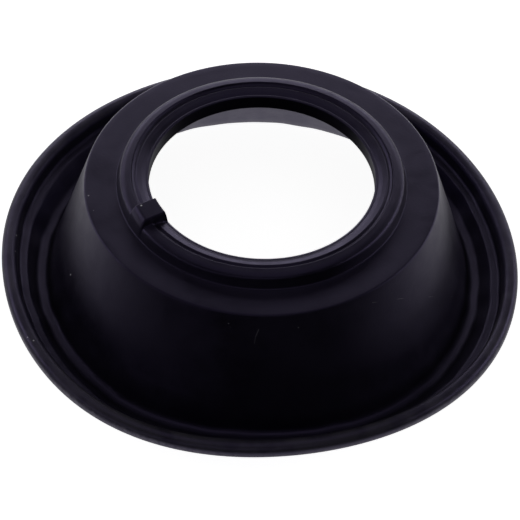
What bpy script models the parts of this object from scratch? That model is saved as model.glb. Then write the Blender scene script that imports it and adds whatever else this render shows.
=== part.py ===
"""Carburettor diaphragm: one moulded piece of rubber, shaped like a hat.

The piece is a turned section with a locating tab on its inner bead. It rests on the underside
of its rolling fold, so the beaded rim hangs clear of the surface. Metres, +Z up, the axis on Z.
"""
import math

import bmesh
import bpy

# Hole and inner bead, from the axis outward
HOLE_RADIUS = 0.0139
LIP_WIDTH = 0.0017
LIP_FALL = 0.0006
BEAD_GROOVE_WIDTH = 0.0003
BEAD_GROOVE_DEPTH = 0.0001
BEAD_WIDTH = 0.0015
BEAD_HEIGHT = 0.0019
BEAD_DRAFT = 0.0004

# Shoulder and cone, whose wall thins down to the membrane at its foot
SHOULDER_WIDTH = 0.0040
SHOULDER_THICKNESS = 0.0008
CONE_RISE = 0.0154
CONE_RUN = 0.0049
MEMBRANE = 0.0004

# Rolling fold at the foot of the cone
FOLD_FLOOR_WIDTH = 0.00155
FOLD_DEPTH = 0.0019
FOLD_WALL_RUN = 0.0014

# Flat ledge and the round bead on the rim, which stands up from it
LEDGE_WIDTH = 0.00115
RIM_STEP_WIDTH = 0.00025
RIM_BEAD_WIDTH = 0.0019
RIM_BEAD_LIFT = 0.0011
RIM_BEAD_SLOPE = 0.0009

# Locating tab across the inner bead
TAB_ANGLE = math.radians(-149.4)
TAB_WIDTH = 0.0031
TAB_RISE = 0.0010
TAB_INSET = 0.00015
TAB_BACK_SLOPE = 0.0012
TAB_OUTER_SLOPE = 0.0008
TAB_EDGE_ROUND = 0.00025
TAB_ROUND_SEGMENTS = 2

# Rounding of the section's corners, each limited to a share of the shorter side beside it
ROUND_SHARE = 0.48
EDGE_ROUND = 0.00015
CREASE_ROUND = 0.00015
BEAD_CROWN_ROUND = 0.0006
SHOULDER_ROUND = 0.00045
FOLD_ROUND = 0.0008
LEDGE_ROUND = 0.00035

# Fineness of the turned mesh, and the angle from which an edge shows as sharp
TURNED_STEPS = 84
ARC_STEP = math.radians(40)
SLIGHT_TURN = math.radians(10)
SHARP_ANGLE = math.radians(35)

# Rubber
RUBBER_COLOUR = (0.021, 0.019, 0.025, 1.0)
RUBBER_ROUGHNESS = 0.5

# Radii that follow from the widths
groove_inner_radius = HOLE_RADIUS + LIP_WIDTH
bead_inner_radius = groove_inner_radius + BEAD_GROOVE_WIDTH
bead_outer_radius = bead_inner_radius + BEAD_WIDTH
bead_foot_radius = bead_outer_radius + BEAD_DRAFT
shoulder_radius = bead_foot_radius + SHOULDER_WIDTH
cone_foot_radius = shoulder_radius + CONE_RUN
fold_floor_radius = cone_foot_radius + FOLD_FLOOR_WIDTH
ledge_inner_radius = fold_floor_radius + FOLD_WALL_RUN
ledge_outer_radius = ledge_inner_radius + LEDGE_WIDTH
rim_bead_inner_radius = ledge_outer_radius + RIM_STEP_WIDTH
rim_radius = rim_bead_inner_radius + RIM_BEAD_WIDTH

# Heights that follow from the rises
fold_floor_top = MEMBRANE
ledge_top = fold_floor_top + FOLD_DEPTH
ledge_underside = ledge_top - MEMBRANE
rim_bead_middle = ledge_top + RIM_BEAD_LIFT
rim_bead_top = rim_bead_middle + RIM_BEAD_WIDTH / 2
rim_bead_underside = rim_bead_middle - RIM_BEAD_WIDTH / 2
shoulder_top = fold_floor_top + CONE_RISE
shoulder_underside = shoulder_top - SHOULDER_THICKNESS
bead_top = shoulder_top + BEAD_HEIGHT
groove_floor = bead_top - BEAD_GROOVE_DEPTH
lip_edge_top = groove_floor - LIP_FALL
tab_top = bead_top + TAB_RISE
tab_root = (lip_edge_top + shoulder_underside) / 2


def parallel(line, distance):
    """The open line's corners moved to its right by the distance, as a wall's other face."""
    normals = []
    for (r0, z0), (r1, z1) in zip(line, line[1:]):
        length = math.hypot(r1 - r0, z1 - z0)
        normals.append(((z1 - z0) / length, (r0 - r1) / length))
    ends = [normals[0]] + normals + [normals[-1]]
    moved = []
    for (r, z), (ar, az), (br, bz) in zip(line, ends, ends[1:]):
        reach = distance / (1 + ar * br + az * bz)
        moved.append((r + reach * (ar + br), z + reach * (az + bz)))
    return moved


def rounded(corners):
    """A closed outline from corners (radius, height, rounding), each rounding an arc."""
    outline = []
    for i, (r, z, rounding) in enumerate(corners):
        before = corners[i - 1]
        after = corners[(i + 1) % len(corners)]
        back = (before[0] - r, before[1] - z)
        ahead = (after[0] - r, after[1] - z)
        back_length = math.hypot(*back)
        ahead_length = math.hypot(*ahead)
        back_angle = math.atan2(back[1], back[0])
        ahead_angle = math.atan2(ahead[1], ahead[0])
        opening = abs(math.remainder(ahead_angle - back_angle, math.tau))
        turn = math.pi - opening
        spread = math.tan(turn / 2)
        if rounding == 0 or turn < SLIGHT_TURN:
            outline.append((r, z))
            continue
        reach = min(rounding * spread, ROUND_SHARE * min(back_length, ahead_length))
        arc_radius = reach / spread
        start = (r + reach * back[0] / back_length, z + reach * back[1] / back_length)
        end = (r + reach * ahead[0] / ahead_length, z + reach * ahead[1] / ahead_length)
        middle = ((start[0] + end[0]) / 2, (start[1] + end[1]) / 2)
        to_middle = (middle[0] - r, middle[1] - z)
        centre_distance = arc_radius / math.cos(turn / 2)
        scale = centre_distance / math.hypot(*to_middle)
        centre = (r + to_middle[0] * scale, z + to_middle[1] * scale)
        first = math.atan2(start[1] - centre[1], start[0] - centre[0])
        last = math.atan2(end[1] - centre[1], end[0] - centre[0])
        sweep = math.remainder(last - first, math.tau)
        count = max(1, round(abs(sweep) / ARC_STEP))
        for k in range(count + 1):
            a = first + sweep * k / count
            outline.append((centre[0] + arc_radius * math.cos(a), centre[1] + arc_radius * math.sin(a)))
    return outline


def section():
    """The closed section, from the hole's lower edge up, over the top face and back below."""
    top = [
        (HOLE_RADIUS, lip_edge_top, EDGE_ROUND),
        (groove_inner_radius, groove_floor, 0),
        (bead_inner_radius, bead_top, BEAD_CROWN_ROUND),
        (bead_outer_radius, bead_top, BEAD_CROWN_ROUND),
        (bead_foot_radius, shoulder_top, CREASE_ROUND),
    ]
    wall = [
        (bead_foot_radius, shoulder_top),
        (shoulder_radius, shoulder_top),
        (cone_foot_radius, fold_floor_top),
        (fold_floor_radius, fold_floor_top),
        (ledge_inner_radius, ledge_top),
        (ledge_outer_radius, ledge_top),
    ]
    roundings = [SHOULDER_ROUND, FOLD_ROUND, FOLD_ROUND, LEDGE_ROUND]
    top += [(r, z, rounding) for (r, z), rounding in zip(wall[1:5], roundings)]
    bead_round = RIM_BEAD_WIDTH / 2
    rim = [
        (ledge_outer_radius, ledge_top, CREASE_ROUND),
        (rim_bead_inner_radius, rim_bead_top, bead_round),
        (rim_radius, rim_bead_top, bead_round),
        (rim_radius, rim_bead_underside, bead_round),
        (ledge_outer_radius + RIM_BEAD_SLOPE, rim_bead_underside, LEDGE_ROUND),
        (ledge_outer_radius, ledge_underside, LEDGE_ROUND),
    ]
    thin = parallel(wall, MEMBRANE)
    thick = parallel(wall, SHOULDER_THICKNESS)
    under = [
        (*thin[4], CREASE_ROUND),
        (*thin[3], FOLD_ROUND + MEMBRANE),
        (*thin[2], FOLD_ROUND + MEMBRANE),
        (*thick[1], CREASE_ROUND),
    ]
    hole_foot = [(HOLE_RADIUS, shoulder_underside, EDGE_ROUND)]
    return rounded(top + rim + under + hole_foot)


def turned(name, outline):
    """A closed body turned about Z from a closed outline."""
    mesh = bpy.data.meshes.new(name)
    bm = bmesh.new()
    verts = [bm.verts.new((r, 0, z)) for r, z in outline]
    edges = [bm.edges.new((a, b)) for a, b in zip(verts, verts[1:] + verts[:1])]
    bmesh.ops.spin(
        bm, geom=verts + edges, cent=(0, 0, 0), axis=(0, 0, 1),
        angle=math.tau, steps=TURNED_STEPS, use_merge=True,
    )
    bmesh.ops.recalc_face_normals(bm, faces=bm.faces[:])
    bm.to_mesh(mesh)
    bm.free()
    return mesh


def tab_mesh(name):
    """The locating tab, its root inside the lip: steep in front, sloped behind and outside."""
    inner = HOLE_RADIUS + TAB_INSET
    outer = bead_outer_radius
    front = TAB_WIDTH / 2
    back = -TAB_WIDTH / 2
    crown_back = back + TAB_BACK_SLOPE
    crown_outer = outer - TAB_OUTER_SLOPE
    foot = [
        (inner, back, tab_root),
        (inner, front, tab_root),
        (outer, front, tab_root),
        (outer, back, tab_root),
    ]
    crown = [
        (inner, crown_back, tab_top),
        (inner, front, tab_top),
        (crown_outer, front, tab_top),
        (crown_outer, crown_back, tab_top),
    ]
    edge_round = min(TAB_EDGE_ROUND, ROUND_SHARE * (front - crown_back), ROUND_SHARE * (crown_outer - inner))
    mesh = bpy.data.meshes.new(name)
    bm = bmesh.new()
    low_ring = [bm.verts.new(p) for p in foot]
    top_ring = [bm.verts.new(p) for p in crown]
    bm.faces.new(low_ring[::-1])
    bm.faces.new(top_ring)
    for k in range(4):
        n = (k + 1) % 4
        bm.faces.new((low_ring[k], low_ring[n], top_ring[n], top_ring[k]))
    top_edges = [e for e in bm.edges if all(v in top_ring for v in e.verts)]
    bmesh.ops.bevel(
        bm, geom=top_edges, offset=edge_round, offset_type="OFFSET",
        segments=TAB_ROUND_SEGMENTS, profile=0.5, affect="EDGES",
    )
    bmesh.ops.recalc_face_normals(bm, faces=bm.faces[:])
    bm.to_mesh(mesh)
    bm.free()
    return mesh


def rubber():
    """Satin black moulded rubber."""
    material = bpy.data.materials.new("black_rubber")
    material.use_nodes = True
    shader = material.node_tree.nodes["Principled BSDF"]
    shader.inputs["Base Color"].default_value = RUBBER_COLOUR
    shader.inputs["Roughness"].default_value = RUBBER_ROUGHNESS
    shader.inputs["Metallic"].default_value = 0.0
    return material


def build():
    for old in list(bpy.data.objects):
        bpy.data.objects.remove(old)

    diaphragm = bpy.data.objects.new("diaphragm", turned("diaphragm", section()))
    bpy.context.collection.objects.link(diaphragm)
    diaphragm.data.materials.append(rubber())

    tab = bpy.data.objects.new("tab_guide", tab_mesh("tab_guide"))
    bpy.context.collection.objects.link(tab)
    tab.rotation_euler = (0, 0, TAB_ANGLE)
    tab.display_type = "WIRE"
    tab.hide_render = True

    union = diaphragm.modifiers.new("locating_tab", "BOOLEAN")
    union.operation = "UNION"
    union.solver = "EXACT"
    union.object = tab

    diaphragm.data.shade_smooth()
    diaphragm.data.set_sharp_from_angle(angle=SHARP_ANGLE)


build()
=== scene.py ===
"""Looks of a carburettor diaphragm: one fine mesh of satin black rubber in a plain white studio.

The mesh repeats the solid's section with its fine lines, sets the locating tab across the inner bead
and gives the relaxed fold and rim their slight waves. Lengths are metres, the axis is on Z.
"""

import math

import bpy
import numpy as np
from mathutils import Matrix, Vector
from mathutils.bvhtree import BVHTree


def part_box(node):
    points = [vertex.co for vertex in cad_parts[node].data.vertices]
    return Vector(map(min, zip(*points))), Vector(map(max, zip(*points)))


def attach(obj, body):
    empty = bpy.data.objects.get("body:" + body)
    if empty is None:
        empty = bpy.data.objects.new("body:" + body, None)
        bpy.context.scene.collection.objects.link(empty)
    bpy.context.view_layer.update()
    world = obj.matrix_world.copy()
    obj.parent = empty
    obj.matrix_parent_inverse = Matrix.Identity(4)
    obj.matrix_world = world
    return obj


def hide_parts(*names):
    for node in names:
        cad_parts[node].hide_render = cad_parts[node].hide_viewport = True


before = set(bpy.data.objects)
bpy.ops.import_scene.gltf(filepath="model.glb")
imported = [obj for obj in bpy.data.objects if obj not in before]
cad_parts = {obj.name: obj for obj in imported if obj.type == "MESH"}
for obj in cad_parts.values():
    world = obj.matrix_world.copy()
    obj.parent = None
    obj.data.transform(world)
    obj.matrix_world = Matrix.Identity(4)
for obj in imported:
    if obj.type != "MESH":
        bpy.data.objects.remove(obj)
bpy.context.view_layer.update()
cad_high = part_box("diaphragm")[1]

MM = 0.001

# The rim's radius comes from the solid, and the sizes within it are given here
RIM_RADIUS = cad_high.x

# Hole, lip and inner bead, from the axis outward
HOLE_RADIUS = 13.9 * MM
HOLE_LOW = 15.0 * MM
LAND_TOP = 16.9 * MM
LAND_WIDTH = 0.30 * MM
LAND_RISE = 0.08 * MM
CREASE_WIDTH = 0.08 * MM
CREASE_DEPTH = 0.03 * MM
LIP_BEND = 0.45 * MM
LIP_BEND_TOP = 17.18 * MM
LIP_WIDTH = 1.05 * MM
LIP_ROUND = 0.6 * MM
GROOVE_TOP = 17.33 * MM
GROOVE_WIDTH = 0.60 * MM
GROOVE_DEPTH = 0.18 * MM
GROOVE_ROUND = 0.08 * MM
CROWN_TOP = 17.56 * MM
CROWN_START = 0.12 * MM
CROWN_START_ROUND = 0.10 * MM
CROWN_MIDDLE = 0.85 * MM
CROWN_MIDDLE_TOP = 17.49 * MM
CROWN_MIDDLE_ROUND = 0.8 * MM
CROWN_SHOULDER = 1.44 * MM
CROWN_SHOULDER_TOP = 17.25 * MM
CROWN_SHOULDER_ROUND = 0.6 * MM
BEAD_FOOT_RADIUS = 17.8 * MM

# Shoulder, cone and rolling fold
SHOULDER_TOP = 15.8 * MM
SHOULDER_RADIUS = 21.8 * MM
SHOULDER_THICKNESS = 0.8 * MM
CONE_FOOT_RADIUS = 26.95 * MM
MEMBRANE = 0.4 * MM
FOLD_FLOOR_RADIUS = 28.25 * MM
LEDGE_INNER_RADIUS = 29.65 * MM
LEDGE_OUTER_RADIUS = 30.8 * MM
LEDGE_TOP = 2.3 * MM

# Round bead on the rim
RIM_BEAD_WIDTH = 1.9 * MM
RIM_BEAD_LIFT = 1.1 * MM
RIM_BEAD_SLOPE = 0.9 * MM

# Roundings of the section
EDGE_ROUND = 0.12 * MM
CREASE_ROUND = 0.18 * MM
SHOULDER_ROUND = 0.32 * MM
FOLD_ROUND = 0.8 * MM
FOOT_ROUND = 0.8 * MM
LEDGE_ROUND = 0.45 * MM
RIM_CREASE_ROUND = 0.45 * MM
ROUND_SHARE = 0.49

# Locating tab: its place round the axis, the rise and slope of its top, and where each end lies and how
# wide its rounding is, across the tab and along the radius
TAB_ANGLE = math.radians(-149.4)
TAB_INNER_RISE = 1.65 * MM
TAB_RISE = 0.90 * MM
TAB_SLOPE = 0.06
TAB_FRONT = 1.70 * MM
TAB_FRONT_RUN = 0.40 * MM
TAB_BACK = -1.30 * MM
TAB_BACK_RUN = 0.30 * MM
TAB_INNER_RUN = 0.30 * MM
TAB_OUTER_START = 16.5 * MM
TAB_OUTER_END = 17.9 * MM
TAB_BLEND = 0.15 * MM

# The tab's rounded ends: how full they are, and how steep at the foot
END_FULLNESS = 2.4
END_STEEPNESS = 0.8

# The relaxed rim's wave in height and in radius: millimetres of cosine and sine for 1 to 4 waves a turn
RIM_LIFT = 0.15 * MM
RIM_WAVE = ((-0.13, 0.18), (-0.21, -0.06), (-0.11, 0.02), (0.18, 0.10))
RIM_SPREAD = 0.05 * MM
RIM_OVAL = ((0.00, 0.07), (-0.14, -0.12), (0.06, -0.12), (-0.12, -0.20))
WAVE_START_RADIUS = 28.3 * MM
WAVE_FULL_RADIUS = 30.2 * MM

# The relaxed fold and ledge out of round: azimuth in degrees and millimetres outward, then how far each
# place is blended with its neighbours, slight ripples as waves a turn, millimetres and phase, and the
# radii where all this starts and is full on the cone, and starts to fade and ends on the rim
FOLD_SHIFT = (
    (-170, 0.10), (-150, 0.07), (-135, 0.30), (-120, 0.70), (-105, 0.22), (-90, -0.15), (-75, 0.05),
    (-60, 0.66), (-45, 0.74), (-30, 0.48), (-10, 0.10), (10, -0.25), (40, 0.0), (140, 0.0), (170, 0.0),
)
FOLD_BLUR_STEP = 6
FOLD_BLUR_STEPS = np.arange(-3, 4)
FOLD_BLUR_WEIGHTS = np.exp(-FOLD_BLUR_STEPS ** 2 / 4)
FOLD_RIPPLES = ((17, 0.030, 0.4), (29, 0.030, 2.1), (41, 0.020, 4.0))
FOLD_SHIFT_RADII = (24.5 * MM, 27.2 * MM, 30.4 * MM, 31.6 * MM)

# Fineness: the steps of a rounding and of a turn, finer beside the tab, and the rows' widths
ARC_STEP = math.radians(13)
SLIGHT_TURN = math.radians(3)
TURN_STEP = math.radians(1.0)
TAB_TURN_STEP = math.radians(0.2)
TAB_REACH = math.radians(9.0)
FINE_ROW = 0.13 * MM
COARSE_ROW = 0.9 * MM

# Camera, fitted to the photograph's rings
IMAGE_SIZE = 520
FOCAL_PIXELS = 2000
SENSOR_WIDTH = 36.0
CAMERA_ELEVATION = math.radians(47.52)
CAMERA_ROLL = math.radians(2.14)
CAMERA_DISTANCE = 255.4 * MM
CAMERA_NEAR = CAMERA_DISTANCE / 100
CAMERA_ASIDE = 0.13 * MM
CAMERA_UP = -0.79 * MM
AIM_HEIGHT = 2.61 * MM

# Soft boxes: azimuth (0 at +X, 90 at the back), elevation, width and height in metres, and radiance
LAMP_DISTANCE = 0.5
LAMPS = {
    "back_low": (90, 20, 0.50, 0.12, 2.1),
    "back_high": (90, 32, 0.50, 0.12, 1.1),
    "back_right": (30, 20, 0.50, 0.12, 1.5),
    "right": (0, 20, 0.50, 0.12, 1.1),
    "back_left_low": (150, 20, 0.50, 0.12, 0.6),
    "back_left_high": (150, 32, 0.50, 0.12, 1.2),
    "left": (180, 20, 0.50, 0.12, 0.55),
    "front_left": (225, 12, 0.40, 0.25, 0.25),
    "front": (270, 34, 0.40, 0.25, 0.25),
    "top": (90, 88, 0.50, 0.50, 0.25),
}

# The floor: white to the camera, and in reflections white behind the part and close round it, and dark
# further in front and underneath, where the hat's shadow is painted on its glow. The places are on y, and
# GLOSS_BESIDE is a radius
FLOOR_SIZE = 2.0
FLOOR_COLOUR = 0.8
FLOOR_GLOW = 0.95
GLOSS_FRONT = -56 * MM
GLOSS_BACK = 28 * MM
GLOSS_FAR = (8 * MM, 60 * MM)
GLOSS_FAR_MORE = 0.9
GLOSS_BESIDE = (34 * MM, 44 * MM)
GLOSS_WHITE = 0.72
UNDER_FRONT = 14 * MM
UNDER_BACK = 22 * MM

# The rubber: its clean and its bloomed colour, the colour of scuffs with a painted highlight on the rim's
# lower edge, the colour of dust, and its gloss
DEEP_COLOUR = (0.0050, 0.0042, 0.0080, 1)
BLOOM_COLOUR = (0.0090, 0.0078, 0.0135, 1)
SCUFF_AND_HIGHLIGHT_COLOUR = (0.265, 0.248, 0.295, 1)
DUST_COLOUR = (0.75, 0.74, 0.78, 1)
GLOSS_LEVEL = 0.72
GLOSS_TINT = (0.585, 0.47, 1.0, 1)
ROUGHNESS = 0.38
ROUGHNESS_BLOOM = 0.05
ROUGHNESS_MOTTLE = 0.06
ROUGHNESS_SCUFF_AND_HIGHLIGHT = 0.12
BLOOM_SIZE = 9 * MM
MOTTLE_SIZE = 1.4 * MM
MOTTLE_SHARE = 0.6
GRAIN_SIZE = 0.30 * MM
GRAIN_HEIGHT = 0.008 * MM
UNEVEN_SIZE = 5 * MM
UNEVEN_SHARE = 7.0
DUST_CELL = 2.6 * MM
DUST_RADIUS = 0.05 * MM
DUST_CHOSEN = (0.80, 1.0)
DUST_PALENESS = 0.35

# Where a noise begins to show and is full: broad clouds, mottling and sharper patches
CLOUDS = (0.35, 0.65)
MOTTLES = (0.30, 0.70)
PATCHES = (0.40, 0.62)

# Greyed skin on the rim's bead: where it starts and is full in radius, its strength and its clouds' size
FILM_COLOUR = (0.054, 0.051, 0.059, 1)
FILM_RADIUS = (31.0 * MM, 31.7 * MM)
FILM_SHARE = (0.25, 0.75)
FILM_SIZE = 2.5 * MM

# Scuffs and a painted highlight on the rim's lower outer edge: the radius where they start and are full, and
# the height where they are full and end
SCUFF_AND_HIGHLIGHT_RADIUS = (31.75 * MM, 32.6 * MM)
SCUFF_AND_HIGHLIGHT_HEIGHT = (3.0 * MM, 3.9 * MM)
SCUFF_AND_HIGHLIGHT_SIZE = 0.8 * MM

# Specks of dust: radius, azimuth in degrees and height of the place, its size, and how pale it is
SPECKS = (
    (16.02 * MM, -152.9, 18.25 * MM, 0.14 * MM, 1.0),
    (30.90 * MM, 180.0, 4.35 * MM, 0.14 * MM, 0.9),
    (30.85 * MM, -174.9, 4.34 * MM, 0.14 * MM, 0.7),
    (31.99 * MM, -147.4, 4.29 * MM, 0.13 * MM, 0.8),
    (32.38 * MM, -149.0, 4.18 * MM, 0.12 * MM, 0.7),
    (21.31 * MM, -170.3, 15.80 * MM, 0.12 * MM, 0.6),
    (21.08 * MM, -163.3, 15.80 * MM, 0.09 * MM, 0.3),
    (24.72 * MM, -159.2, 7.08 * MM, 0.14 * MM, 0.8),
    (22.24 * MM, -98.4, 14.37 * MM, 0.10 * MM, 0.2),
    (22.38 * MM, -77.4, 13.93 * MM, 0.10 * MM, 0.2),
)

# Scratches on the cone: their places in the same way, half their width, and how pale they are
SCRATCHES = (
    ((22.38 * MM, -89.3, 13.94 * MM), (22.67 * MM, -90.1, 13.01 * MM), 0.07 * MM, 0.10),
    ((22.67 * MM, -90.1, 13.01 * MM), (22.96 * MM, -90.4, 12.08 * MM), 0.06 * MM, 0.06),
    ((22.31 * MM, -52.7, 14.16 * MM), (22.89 * MM, -42.0, 12.31 * MM), 0.06 * MM, 0.10),
    ((22.89 * MM, -42.0, 12.31 * MM), (24.01 * MM, -29.0, 8.71 * MM), 0.06 * MM, 0.12),
    ((24.01 * MM, -29.0, 8.71 * MM), (25.40 * MM, -17.2, 4.24 * MM), 0.06 * MM, 0.08),
)


def parallel(line, distance):
    """The open line's corners moved to its right by the distance, as a wall's other face."""
    normals = []
    for (r0, z0), (r1, z1) in zip(line, line[1:]):
        length = math.hypot(r1 - r0, z1 - z0)
        normals.append(((z1 - z0) / length, (r0 - r1) / length))
    ends = [normals[0]] + normals + [normals[-1]]
    moved = []
    for (r, z), (ar, az), (br, bz) in zip(line, ends, ends[1:]):
        reach = distance / (1 + ar * br + az * bz)
        moved.append((r + reach * (ar + br), z + reach * (az + bz)))
    return moved


def rounded(corners):
    """A closed outline from corners (radius, height, rounding), each rounding an arc."""
    outline = []
    for i, (r, z, rounding) in enumerate(corners):
        here = Vector((r, z))
        back = Vector(corners[i - 1][:2]) - here
        ahead = Vector(corners[(i + 1) % len(corners)][:2]) - here
        turn = math.pi - back.angle(ahead)
        if rounding == 0 or turn < SLIGHT_TURN:
            outline.append((r, z))
            continue
        spread = math.tan(turn / 2)
        reach = min(rounding * spread, ROUND_SHARE * min(back.length, ahead.length))
        start = here + back.normalized() * reach
        end = here + ahead.normalized() * reach
        middle = ((start + end) / 2 - here).normalized()
        centre = here + middle * (reach / spread / math.cos(turn / 2))
        first = math.atan2(*(start - centre).yx)
        sweep = math.remainder(math.atan2(*(end - centre).yx) - first, math.tau)
        count = max(1, round(abs(sweep) / ARC_STEP))
        for k in range(count + 1):
            a = first + sweep * k / count
            outline.append((centre.x + reach / spread * math.cos(a), centre.y + reach / spread * math.sin(a)))
    return outline


def section_corners():
    """The section's corners, from the hole's lower edge up, over the top face and back below."""
    crease = HOLE_RADIUS + LAND_WIDTH
    lip_foot = crease + CREASE_WIDTH
    groove = lip_foot + LIP_WIDTH
    crown = groove + GROOVE_WIDTH
    top = [
        (HOLE_RADIUS, LAND_TOP, EDGE_ROUND),
        (crease, LAND_TOP + LAND_RISE, 0),
        (crease + CREASE_WIDTH / 2, LAND_TOP + LAND_RISE - CREASE_DEPTH, 0),
        (lip_foot, LAND_TOP + LAND_RISE, 0),
        (lip_foot + LIP_BEND, LIP_BEND_TOP, LIP_ROUND),
        (groove, GROOVE_TOP, GROOVE_ROUND),
        (groove + GROOVE_WIDTH / 2, GROOVE_TOP - GROOVE_DEPTH, GROOVE_ROUND),
        (crown, GROOVE_TOP, GROOVE_ROUND),
        (crown + CROWN_START, CROWN_TOP, CROWN_START_ROUND),
        (crown + CROWN_MIDDLE, CROWN_MIDDLE_TOP, CROWN_MIDDLE_ROUND),
        (crown + CROWN_SHOULDER, CROWN_SHOULDER_TOP, CROWN_SHOULDER_ROUND),
        (BEAD_FOOT_RADIUS, SHOULDER_TOP, CREASE_ROUND),
    ]
    wall = [
        (BEAD_FOOT_RADIUS, SHOULDER_TOP),
        (SHOULDER_RADIUS, SHOULDER_TOP),
        (CONE_FOOT_RADIUS, MEMBRANE),
        (FOLD_FLOOR_RADIUS, MEMBRANE),
        (LEDGE_INNER_RADIUS, LEDGE_TOP),
        (LEDGE_OUTER_RADIUS, LEDGE_TOP),
    ]
    roundings = [SHOULDER_ROUND, FOOT_ROUND, FOLD_ROUND, LEDGE_ROUND]
    top += [(r, z, rounding) for (r, z), rounding in zip(wall[1:5], roundings)]
    bead_top = LEDGE_TOP + RIM_BEAD_LIFT + RIM_BEAD_WIDTH / 2
    bead_low = bead_top - RIM_BEAD_WIDTH
    rim = [
        (LEDGE_OUTER_RADIUS, LEDGE_TOP, RIM_CREASE_ROUND),
        (RIM_RADIUS - RIM_BEAD_WIDTH, bead_top, RIM_BEAD_WIDTH / 2),
        (RIM_RADIUS, bead_top, RIM_BEAD_WIDTH / 2),
        (RIM_RADIUS, bead_low, RIM_BEAD_WIDTH / 2),
        (LEDGE_OUTER_RADIUS + RIM_BEAD_SLOPE, bead_low, LEDGE_ROUND),
        (LEDGE_OUTER_RADIUS, LEDGE_TOP - MEMBRANE, LEDGE_ROUND),
    ]
    thin = parallel(wall, MEMBRANE)
    thick = parallel(wall, SHOULDER_THICKNESS)
    under = [
        (*thin[4], CREASE_ROUND),
        (*thin[3], FOLD_ROUND + MEMBRANE),
        (*thin[2], FOLD_ROUND + MEMBRANE),
        (*thick[1], CREASE_ROUND),
    ]
    return top + rim + under + [(HOLE_RADIUS, HOLE_LOW, EDGE_ROUND)]


def fine_section():
    """The rounded section with its long stretches divided, finely where the tab rises."""
    outline = rounded(section_corners())
    points = []
    for (r0, z0), (r1, z1) in zip(outline, outline[1:] + outline[:1]):
        near_tab = max(r0, r1) < BEAD_FOOT_RADIUS and min(z0, z1) > SHOULDER_TOP
        row = FINE_ROW if near_tab else COARSE_ROW
        count = max(1, math.ceil(math.hypot(r1 - r0, z1 - z0) / row))
        points += [(r0 + (r1 - r0) * k / count, z0 + (z1 - z0) * k / count) for k in range(count)]
    return np.array(points)


def azimuths():
    """Angles once round, closer together across the tab."""
    tab = np.arange(TAB_ANGLE - TAB_REACH, TAB_ANGLE + TAB_REACH, TAB_TURN_STEP)
    rest = math.tau - 2 * TAB_REACH
    count = round(rest / TURN_STEP)
    others = TAB_ANGLE + TAB_REACH + rest * np.arange(count) / count
    return np.concatenate([tab, others])


def smooth(x):
    """0 below 0, 1 above 1 and a smooth step between."""
    t = np.clip(x, 0, 1)
    return t * t * (3 - 2 * t)


def rounded_end(x):
    """1 below 0, 0 above 1 and a rounded fall between, steep at its foot."""
    return (1 - np.clip(x, 0, 1) ** END_FULLNESS) ** END_STEEPNESS


def wave(angle, shares):
    """A sum of waves round the rim, from their shares in millimetres."""
    return MM * sum(c * np.cos(n * angle) + s * np.sin(n * angle) for n, (c, s) in enumerate(shares, 1))


def fold_shift(angle):
    """How far the relaxed fold and ledge lie out of round."""
    places, shifts = zip(*FOLD_SHIFT)
    turns = FOLD_BLUR_STEPS * FOLD_BLUR_STEP
    near = [np.interp(np.degrees(angle) + turn, places, shifts, period=360) for turn in turns]
    shift = np.tensordot(FOLD_BLUR_WEIGHTS / FOLD_BLUR_WEIGHTS.sum(), near, 1)
    ripple = sum(height * np.sin(count * angle + start) for count, height, start in FOLD_RIPPLES)
    return MM * (shift + ripple)


def tab_lift(r, z, angle):
    """How far the tab raises the lip and the inner bead at a place on them."""
    across = r * np.sin(angle - TAB_ANGLE)
    facing = np.cos(angle - TAB_ANGLE) > 0
    front = rounded_end((across - TAB_FRONT) / TAB_FRONT_RUN + 1)
    back = rounded_end((TAB_BACK - across) / TAB_BACK_RUN + 1)
    inner = rounded_end((HOLE_RADIUS - r) / TAB_INNER_RUN + 1)
    outer = 1 - smooth((r - TAB_OUTER_START) / (TAB_OUTER_END - TAB_OUTER_START))
    along = smooth((r - HOLE_RADIUS) / (TAB_OUTER_END - HOLE_RADIUS))
    top = LAND_TOP + TAB_INNER_RISE + (CROWN_TOP + TAB_RISE - LAND_TOP - TAB_INNER_RISE) * along
    top = top - TAB_SLOPE * across
    height = (top - z + np.hypot(top - z, TAB_BLEND)) / 2
    foot = np.where(r < HOLE_RADIUS + LAND_WIDTH, LAND_TOP, SHOULDER_TOP)
    on_top = z > foot - EDGE_ROUND
    return np.where(facing & on_top, height * front * back * inner * outer, 0)


def diaphragm_mesh(name):
    """The turned section, with the rim's wave and the tab, as a closed grid of quads."""
    profile = fine_section()
    angles = azimuths()
    r, angle = np.meshgrid(profile[:, 0], angles)
    z = np.meshgrid(profile[:, 1], angles)[0]
    z = z + tab_lift(r, z, angle)
    cone, fold, ledge, bead = FOLD_SHIFT_RADII
    shifted = smooth((r - cone) / (fold - cone)) * (1 - smooth((r - ledge) / (bead - ledge)))
    share = smooth((r - WAVE_START_RADIUS) / (WAVE_FULL_RADIUS - WAVE_START_RADIUS))
    z = z + share * (RIM_LIFT + wave(angle, RIM_WAVE))
    r = r + share * (RIM_SPREAD + wave(angle, RIM_OVAL)) + shifted * fold_shift(angle)
    co = np.stack([r * np.cos(angle), r * np.sin(angle), z], axis=-1).reshape(-1, 3)
    rows, columns = len(profile), len(angles)
    i, j = np.meshgrid(np.arange(columns), np.arange(rows), indexing="ij")
    i_next, j_next = (i + 1) % columns, (j + 1) % rows
    quads = np.stack([i * rows + j, i_next * rows + j, i_next * rows + j_next, i * rows + j_next], axis=-1)
    mesh = bpy.data.meshes.new(name)
    mesh.from_pydata(co.tolist(), [], quads.reshape(-1, 4).tolist())
    mesh.shade_smooth()
    mesh.update()
    return mesh


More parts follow.
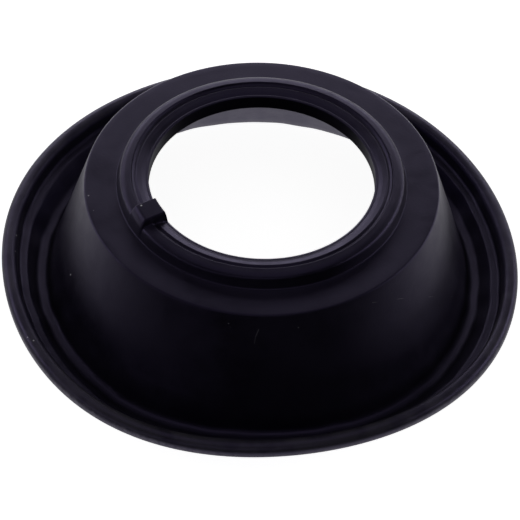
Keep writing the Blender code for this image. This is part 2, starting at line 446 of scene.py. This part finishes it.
def add(tree, kind, values=(), **settings):
    """A node with its settings, and its inputs linked to sockets or set to values, by index or name."""
    node = tree.nodes.new("ShaderNode" + kind)
    for key, value in settings.items():
        setattr(node, key, value)
    for key, value in dict(values).items():
        if isinstance(value, bpy.types.NodeSocket):
            tree.links.new(value, node.inputs[key])
        else:
            node.inputs[key].default_value = value
    return node.outputs


def math_node(tree, operation, *values):
    """The result of one sum on two or three numbers or sockets."""
    return add(tree, "Math", dict(enumerate(values)), operation=operation)[0]


def ramp(tree, value, low, high, at_low=0.0, at_high=1.0):
    """A smooth step of a value, from one result below to another above."""
    return add(tree, "MapRange", {"Value": value, 1: low, 2: high, 3: at_low, 4: at_high},
               interpolation_type="SMOOTHSTEP")[0]


def noise(tree, place, size, detail):
    """Even noise with features of about the size."""
    return add(tree, "TexNoise", {"Vector": place, "Scale": 1 / size, "Detail": detail})[0]


def mix_colour(tree, share, first, second):
    """A blend of two colours."""
    return add(tree, "Mix", {0: share, 6: first, 7: second}, data_type="RGBA")[2]


def on_surface(surface, radius, azimuth, height):
    """The place that shows where the camera looks towards a radius, an azimuth in degrees and a height."""
    angle = math.radians(azimuth)
    place = Vector((radius * math.cos(angle), radius * math.sin(angle), height))
    towards = camera_axes()[2]
    return surface.ray_cast(place + towards * RIM_RADIUS, -towards)[0]


def speck(tree, place, where, size, pale):
    """How pale one speck makes a place."""
    away = add(tree, "VectorMath", {0: place, 1: where}, operation="DISTANCE")["Value"]
    return ramp(tree, away, size / 2, size, pale, 0.0)


def scratch(tree, place, start, end, size, pale):
    """How pale one straight scratch makes a place."""
    along = end - start
    from_start = add(tree, "VectorMath", {0: place, 1: start}, operation="SUBTRACT")["Vector"]
    share = along / along.length_squared
    run = add(tree, "VectorMath", {0: from_start, 1: share}, operation="DOT_PRODUCT")["Value"]
    run = add(tree, "Clamp", {"Value": run})[0]
    foot = add(tree, "VectorMath", {0: along, "Scale": run}, operation="SCALE")["Vector"]
    away = add(tree, "VectorMath", {0: from_start, 1: foot}, operation="DISTANCE")["Value"]
    return ramp(tree, away, size / 2, size, pale, 0.0)


def dust(tree, place):
    """Sparse fine dust: a dot in some cells of a random pattern."""
    cells = add(tree, "TexVoronoi", {"Vector": place, "Scale": 1 / DUST_CELL})
    draw = add(tree, "SeparateColor", {0: cells["Color"]})[0]
    chosen = ramp(tree, draw, *DUST_CHOSEN, 0.0, DUST_PALENESS)
    dot = ramp(tree, cells["Distance"], DUST_RADIUS / DUST_CELL, 2 * DUST_RADIUS / DUST_CELL, 1.0, 0.0)
    return math_node(tree, "MULTIPLY", dot, chosen)


def rubber(surface):
    """Satin black moulded rubber with a violet cast, a slight bloom, scuffs and a painted highlight on the
    rim's lower edge, scratches and dust.
    """
    material = bpy.data.materials.new("black_rubber")
    material.use_nodes = True
    tree = material.node_tree
    shader = tree.nodes["Principled BSDF"]
    place = add(tree, "TexCoord")["Object"]
    bloom = ramp(tree, noise(tree, place, BLOOM_SIZE, detail=3), *CLOUDS)
    mottle = noise(tree, place, MOTTLE_SIZE, detail=4)
    grain = noise(tree, place, GRAIN_SIZE, detail=2)

    flat = add(tree, "VectorMath", {0: place, 1: (1, 1, 0)}, operation="MULTIPLY")["Vector"]
    radius = add(tree, "VectorMath", {0: flat}, operation="LENGTH")["Value"]
    height = add(tree, "SeparateXYZ", {0: place})[2]
    # Scuffs and a painted highlight: pale, slightly rougher patches on the rim's lower outer edge
    low = ramp(tree, height, *SCUFF_AND_HIGHLIGHT_HEIGHT, 1.0, 0.0)
    edge = math_node(tree, "MULTIPLY", ramp(tree, radius, *SCUFF_AND_HIGHLIGHT_RADIUS), low)
    patches = ramp(tree, noise(tree, place, SCUFF_AND_HIGHLIGHT_SIZE, detail=5), *PATCHES)
    scuff_and_highlight = math_node(tree, "MULTIPLY", edge, patches)

    pale = dust(tree, place)
    for *where, size, paleness in SPECKS:
        spot = speck(tree, place, on_surface(surface, *where), size, paleness)
        pale = math_node(tree, "MAXIMUM", pale, spot)
    for start, end, size, paleness in SCRATCHES:
        ends = on_surface(surface, *start), on_surface(surface, *end)
        line = scratch(tree, place, *ends, size, paleness)
        pale = math_node(tree, "MAXIMUM", pale, line)

    colour = mix_colour(tree, bloom, DEEP_COLOUR, BLOOM_COLOUR)
    film = ramp(tree, noise(tree, place, FILM_SIZE, detail=5), *CLOUDS, *FILM_SHARE)
    film = math_node(tree, "MULTIPLY", film, ramp(tree, radius, *FILM_RADIUS))
    colour = mix_colour(tree, film, colour, FILM_COLOUR)
    colour = mix_colour(tree, scuff_and_highlight, colour, SCUFF_AND_HIGHLIGHT_COLOUR)
    colour = mix_colour(tree, pale, colour, DUST_COLOUR)
    rough = math_node(tree, "MULTIPLY_ADD", bloom, ROUGHNESS_BLOOM, ROUGHNESS - ROUGHNESS_BLOOM / 2)
    uneven_gloss = ramp(tree, mottle, *MOTTLES, -ROUGHNESS_MOTTLE / 2, ROUGHNESS_MOTTLE / 2)
    rough = math_node(tree, "ADD", rough, uneven_gloss)
    rough = math_node(tree, "MULTIPLY_ADD", scuff_and_highlight, ROUGHNESS_SCUFF_AND_HIGHLIGHT, rough)
    relief = math_node(tree, "MULTIPLY_ADD", mottle, MOTTLE_SHARE, grain)
    uneven = noise(tree, place, UNEVEN_SIZE, detail=1)
    relief = math_node(tree, "MULTIPLY_ADD", uneven, UNEVEN_SHARE, relief)
    bump = add(tree, "Bump", {"Height": relief, "Distance": GRAIN_HEIGHT, "Strength": 1.0})[0]
    tree.links.new(colour, shader.inputs["Base Color"])
    tree.links.new(rough, shader.inputs["Roughness"])
    tree.links.new(bump, shader.inputs["Normal"])
    shader.inputs["Specular IOR Level"].default_value = GLOSS_LEVEL
    shader.inputs["Specular Tint"].default_value = GLOSS_TINT
    return material


def camera_axes():
    """Right, up and back of the camera before its roll."""
    right = Vector((1, 0, 0))
    up = Vector((0, math.sin(CAMERA_ELEVATION), math.cos(CAMERA_ELEVATION)))
    return right, up, right.cross(up)


def camera():
    """The photograph's camera: level right, then the roll, looking down on the part."""
    data = bpy.data.cameras.new("camera")
    data.sensor_width = SENSOR_WIDTH
    data.lens = FOCAL_PIXELS / IMAGE_SIZE * SENSOR_WIDTH
    data.clip_start = CAMERA_NEAR
    right, up, back = camera_axes()
    place = right * CAMERA_ASIDE + up * CAMERA_UP + back * CAMERA_DISTANCE + Vector((0, 0, AIM_HEIGHT))
    x_axis = right * math.cos(CAMERA_ROLL) + up * math.sin(CAMERA_ROLL)
    y_axis = up * math.cos(CAMERA_ROLL) - right * math.sin(CAMERA_ROLL)
    turn = Matrix((x_axis, y_axis, back)).transposed().to_4x4()
    obj = bpy.data.objects.new("camera", data)
    obj.matrix_world = Matrix.Translation(place) @ turn
    bpy.context.collection.objects.link(obj)
    bpy.context.scene.camera = obj


def area_light(name, azimuth, elevation, width, height, radiance):
    """A soft box that faces the part."""
    data = bpy.data.lights.new(name, "AREA")
    data.shape = "RECTANGLE"
    data.size = width
    data.size_y = height
    data.energy = radiance * math.pi * width * height
    obj = bpy.data.objects.new(name, data)
    a, e = math.radians(azimuth), math.radians(elevation)
    away = Vector((math.cos(a) * math.cos(e), math.sin(a) * math.cos(e), math.sin(e)))
    obj.location = away * LAMP_DISTANCE
    obj.rotation_euler = away.to_track_quat("Z", "Y").to_euler()
    bpy.context.collection.objects.link(obj)


def floor():
    """A wide pale floor that fills the camera's view with white and keeps the part's shadow."""
    bpy.ops.mesh.primitive_plane_add(size=FLOOR_SIZE, location=(0, 0, 0))
    obj = bpy.context.object
    obj.name = "floor"
    material = bpy.data.materials.new("floor")
    material.use_nodes = True
    tree = material.node_tree
    tree.nodes.clear()
    rays = add(tree, "LightPath")
    seen = math_node(tree, "MAXIMUM", rays["Is Camera Ray"], rays["Is Transmission Ray"])
    place = add(tree, "NewGeometry")["Position"]
    back = add(tree, "SeparateXYZ", {0: place})[1]
    radius = add(tree, "VectorMath", {0: place}, operation="LENGTH")["Value"]
    # Painted shadow of the hat: in reflections the floor under it is dark, apart from a strip at its back
    beyond = ramp(tree, radius, CONE_FOOT_RADIUS, FOLD_FLOOR_RADIUS)
    clear_of_painted_shadow = math_node(tree, "MAXIMUM", beyond, ramp(tree, back, UNDER_FRONT, UNDER_BACK))
    white = ramp(tree, back, GLOSS_FRONT, GLOSS_BACK)
    white = math_node(tree, "MULTIPLY_ADD", ramp(tree, back, *GLOSS_FAR), GLOSS_FAR_MORE, white)
    white = math_node(tree, "MAXIMUM", white, ramp(tree, radius, *GLOSS_BESIDE, 1.0, 0.0))
    mirrored = math_node(tree, "MULTIPLY", math_node(tree, "MULTIPLY", white, clear_of_painted_shadow), GLOSS_WHITE)
    matt = add(tree, "BsdfDiffuse", {"Color": (FLOOR_COLOUR,) * 3 + (1,)})
    glow = add(tree, "Emission", {"Strength": math_node(tree, "MULTIPLY", seen, FLOOR_GLOW)})
    plain = add(tree, "AddShader", {0: matt[0], 1: glow[0]})
    mirror = add(tree, "Emission", {"Strength": mirrored})
    both = add(tree, "MixShader", {0: rays["Is Glossy Ray"], 1: plain[0], 2: mirror[0]})
    add(tree, "OutputMaterial", {"Surface": both[0]})
    obj.data.materials.append(material)


def pale_background():
    """A world that gives no light, pale grey to the camera where a low view passes the floor's edge."""
    world = bpy.data.worlds.new("background")
    world.use_nodes = True
    tree = world.node_tree
    tree.nodes.clear()
    rays = add(tree, "LightPath")
    seen = math_node(tree, "MAXIMUM", rays["Is Camera Ray"], rays["Is Transmission Ray"])
    background = add(tree, "Background", {"Strength": seen})
    add(tree, "OutputWorld", {"Surface": background[0]})
    bpy.context.scene.world = world


diaphragm = bpy.data.objects.new("rubber_diaphragm", diaphragm_mesh("rubber_diaphragm"))
bpy.context.collection.objects.link(diaphragm)
surface = BVHTree.FromObject(diaphragm, bpy.context.evaluated_depsgraph_get())
diaphragm.data.materials.append(rubber(surface))
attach(diaphragm, "root")
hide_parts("diaphragm")

camera()
floor()
pale_background()
for lamp_name, lamp in LAMPS.items():
    area_light(lamp_name, *lamp)

bpy.context.scene.view_settings.view_transform = "Standard"
